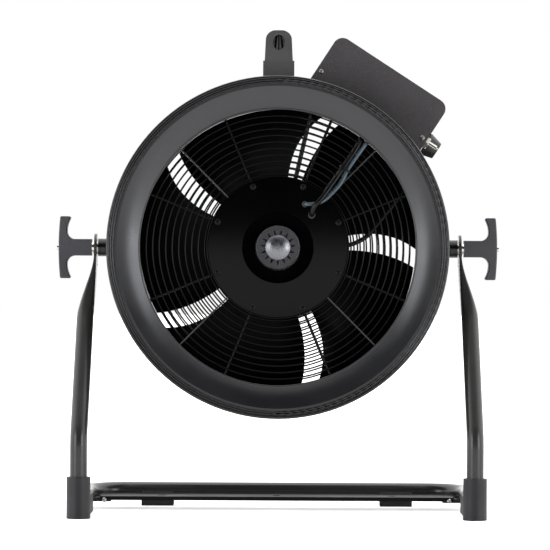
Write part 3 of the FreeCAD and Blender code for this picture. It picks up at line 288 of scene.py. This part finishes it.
def add_grip_core(material):
    """Web that closes the through slots of the carry grip half way along; its dark colour is
    painted shade in the slots.
    """
    grip = NODES["handle_grip"]
    corners = [grip.matrix_world @ Vector(corner) for corner in grip.bound_box]
    low, high = ([pick(c[i] for c in corners) for i in range(3)] for pick in (min, max))
    middle = [(low[i] + high[i]) / 2 for i in range(3)]
    count = CORE_SIDES
    points = []
    for side in (-1, 1):
        for k in range(count):
            a = 2 * math.pi * k / count
            x = middle[0] + CORE_HALF_X * math.cos(a)
            z = middle[2] + CORE_HALF_Z * math.sin(a)
            points.append((x, middle[1] + side * CORE_HALF_Y, z))
    faces = [tuple(range(count)), tuple(reversed(range(count, 2 * count)))]
    for k in range(count):
        after = (k + 1) % count
        faces.append((k, k + count, after + count, after))
    core = new_mesh("grip_core", points, faces)
    core.data.materials.append(material)
    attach(core, "fan_drum")


# --- stage, light and camera -----------------------------------------------------
def build_stage():
    """Pale round floor."""
    count = FLOOR_SIDES
    points, faces = [(0, 0, 0)], []
    for radius in FLOOR_RINGS:
        for k in range(count):
            a = 2 * math.pi * k / count
            points.append((radius * math.cos(a), radius * math.sin(a), 0))
    for k in range(count):
        faces.append((0, 1 + k, 1 + (k + 1) % count))
        for ring in range(len(FLOOR_RINGS) - 1):
            low, high = 1 + ring * count, 1 + (ring + 1) * count
            faces.append((low + k, high + k, high + (k + 1) % count, low + (k + 1) % count))
    floor = new_mesh("floor", points, faces)
    m = Maker("floor_paint")
    base = m.mix(m.noise(1.5, 3.0), FLOOR_DARK, FLOOR_LIGHT)
    glow = m.scaled(m.add("ShaderNodeLightPath").outputs["Is Camera Ray"], FLOOR_GLOW)
    m.finish(Base_Color=base, Roughness=FLOOR_ROUGH)
    floor.data.materials.append(m.finish(Emission_Color=(1, 1, 1, 1), Emission_Strength=glow))


def soft_light(name, place, target, size, power, colour):
    data = bpy.data.lights.new(name, "AREA")
    data.shape = "RECTANGLE"
    data.size, data.size_y = size
    data.energy = power
    data.color = colour
    obj = bpy.data.objects.new(name, data)
    obj.location = place
    obj.rotation_euler = (Vector(target) - Vector(place)).to_track_quat("-Z", "Y").to_euler()
    bpy.context.scene.collection.objects.link(obj)


def build_world():
    """White studio: bright behind and above, and a dark room in front above the pale floor."""
    world = bpy.data.worlds.new("studio")
    world.use_nodes = True
    tree = world.node_tree
    tree.nodes.clear()
    out = tree.nodes.new("ShaderNodeOutputWorld")
    coords = tree.nodes.new("ShaderNodeTexCoord")
    parts = tree.nodes.new("ShaderNodeSeparateXYZ")
    tree.links.new(coords.outputs["Generated"], parts.inputs[0])

    def ramp(value, span, to_low, to_high):
        node = tree.nodes.new("ShaderNodeMapRange")
        node.interpolation_type = "SMOOTHSTEP"
        tree.links.new(value, node.inputs["Value"])
        for socket, number in zip(RANGE_SOCKETS, (*span, to_low, to_high)):
            node.inputs[socket].default_value = number
        return node.outputs["Result"]

    def calc(operation, first, second):
        node = tree.nodes.new("ShaderNodeMath")
        node.operation = operation
        for socket, value in zip(node.inputs, (first, second)):
            if isinstance(value, bpy.types.NodeSocket):
                tree.links.new(value, socket)
            else:
                socket.default_value = value
        return node.outputs[0]

    ahead = ramp(parts.outputs["Y"], ROOM_AHEAD, 1.0, 0.0)
    above = ramp(parts.outputs["Z"], ROOM_FLOOR, 0.0, 1.0)
    below_ceiling = ramp(parts.outputs["Z"], ROOM_CEILING, 1.0, 0.0)
    dark = calc("MULTIPLY", calc("MULTIPLY", ahead, above), below_ceiling)
    strength = calc("SUBTRACT", SKY, calc("MULTIPLY", dark, SKY - DARK_ROOM))
    light_path = tree.nodes.new("ShaderNodeLightPath")
    shown = tree.nodes.new("ShaderNodeMix")
    tree.links.new(light_path.outputs["Is Camera Ray"], shown.inputs[0])
    tree.links.new(strength, shown.inputs[2])
    shown.inputs[3].default_value = 1.0
    back = tree.nodes.new("ShaderNodeBackground")
    back.inputs["Color"].default_value = (1, 1, 1, 1)
    tree.links.new(shown.outputs[0], back.inputs["Strength"])
    tree.links.new(back.outputs[0], out.inputs["Surface"])
    bpy.context.scene.world = world


def build_light():
    for row in LIGHTS:
        soft_light(*row)


def build_camera():
    data = bpy.data.cameras.new("camera")
    data.lens = CAMERA_LENS
    data.sensor_width = SENSOR_WIDTH
    data.shift_x = SHIFT_X
    data.shift_y = SHIFT_Y
    data.clip_end = CLIP_END
    obj = bpy.data.objects.new("camera", data)
    level = Matrix.Rotation(math.radians(CAMERA_PITCH), 4, "X")
    roll = Matrix.Rotation(math.radians(CAMERA_ROLL), 4, "Z")
    obj.matrix_world = Matrix.Translation(CAMERA_PLACE) @ level @ roll
    bpy.context.scene.collection.objects.link(obj)
    bpy.context.scene.camera = obj


build_camera()
build_world()
build_light()
build_stage()
finishes = build_materials()
assign_materials(finishes)
add_grip_core(finishes["core_plastic"])
bpy.context.scene.view_settings.view_transform = "Standard"
